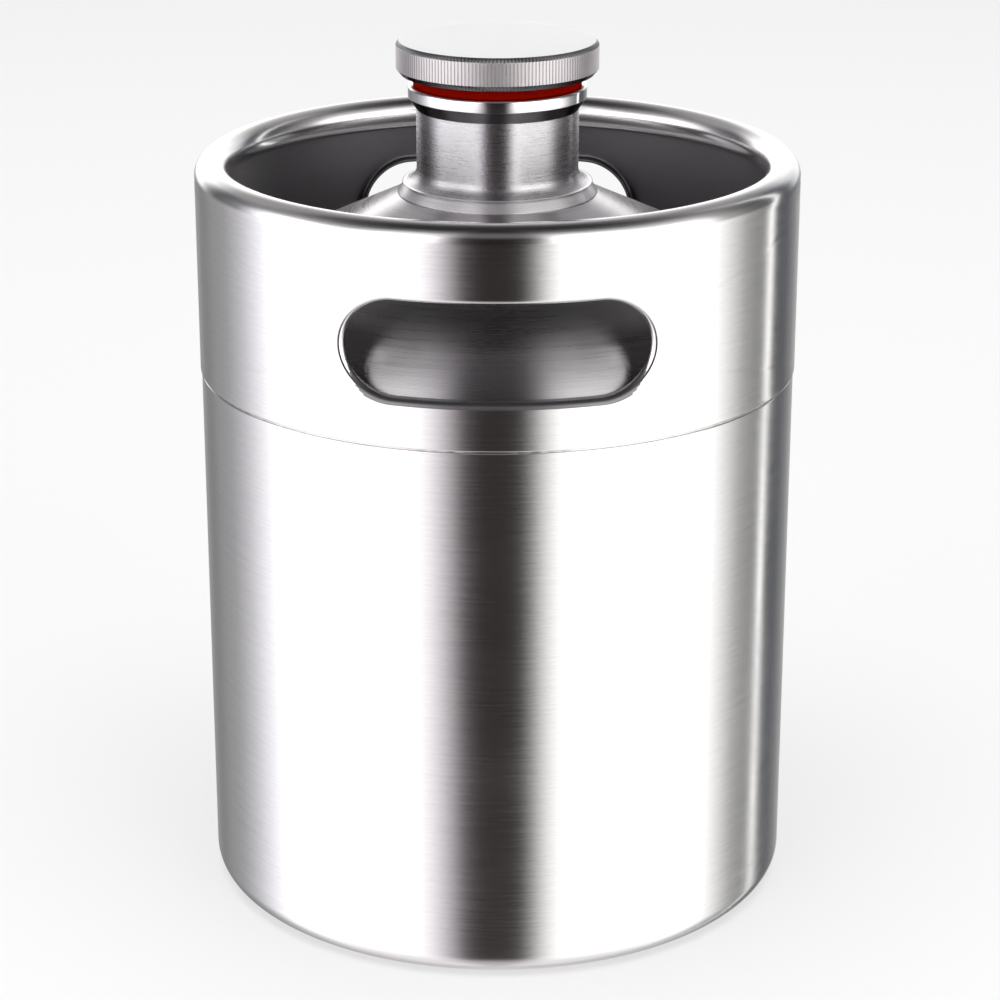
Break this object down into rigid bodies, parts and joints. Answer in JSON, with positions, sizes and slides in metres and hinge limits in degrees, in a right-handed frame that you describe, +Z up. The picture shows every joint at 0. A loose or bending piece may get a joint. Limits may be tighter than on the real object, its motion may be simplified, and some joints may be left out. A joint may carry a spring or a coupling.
{
  "type": "mini keg",
  "caption": "Small upright stainless steel drinks keg with a rolled foot, a slotted carrying skirt with a curled rim, and a knurled screw cap with a red washer.",
  "frame": {"origin": "on the keg's axis, at the plane it stands on", "axes": "+Z up along the keg's axis; -Y and +Y point out through the two handle slots; +X to the right, seen from -Y"},
  "size_m": [0.1344, 0.1344, 0.1953],
  "materials": {
    "barrel_steel": "stainless steel, brushed round the axis",
    "skirt_steel": "stainless steel, brushed round the axis, rim polished by the rolling",
    "shoulder_steel": "stainless steel, finely brushed round the axis",
    "base_steel": "stainless steel, mill finish",
    "neck_steel": "stainless steel, turned and polished",
    "cap_steel": "stainless steel, turned, fine straight knurl round the edge",
    "weld_steel": "stainless steel, weld bead dressed flush",
    "silicone": "soft red silicone"
  },
  "bodies": {
    "keg": {"body_shell": "barrel_steel", "base_dish": "base_steel", "base_weld": "weld_steel", "shoulder_dome": "shoulder_steel", "girth_weld": "weld_steel", "top_skirt": "skirt_steel", "neck": "neck_steel", "neck_weld": "weld_steel"},
    "gasket": {"cap_gasket": "silicone"},
    "cap": {"screw_cap": "cap_steel"}
  },
  "joints": [
    {"name": "cap_lift", "type": "slide", "parent": "keg", "child": "gasket", "axis": [0, 0, 1], "range_m": [0, 0.015]},
    {"name": "cap_turn", "type": "hinge", "parent": "gasket", "child": "cap", "pos_m": [0, 0, 0.19], "axis": [0, 0, 1], "range_deg": [0, 1800]}
  ],
  "couplings": [
    {"joint": "cap_lift", "follows": "cap_turn", "m_per_rad": 0.00047746}
  ]
}
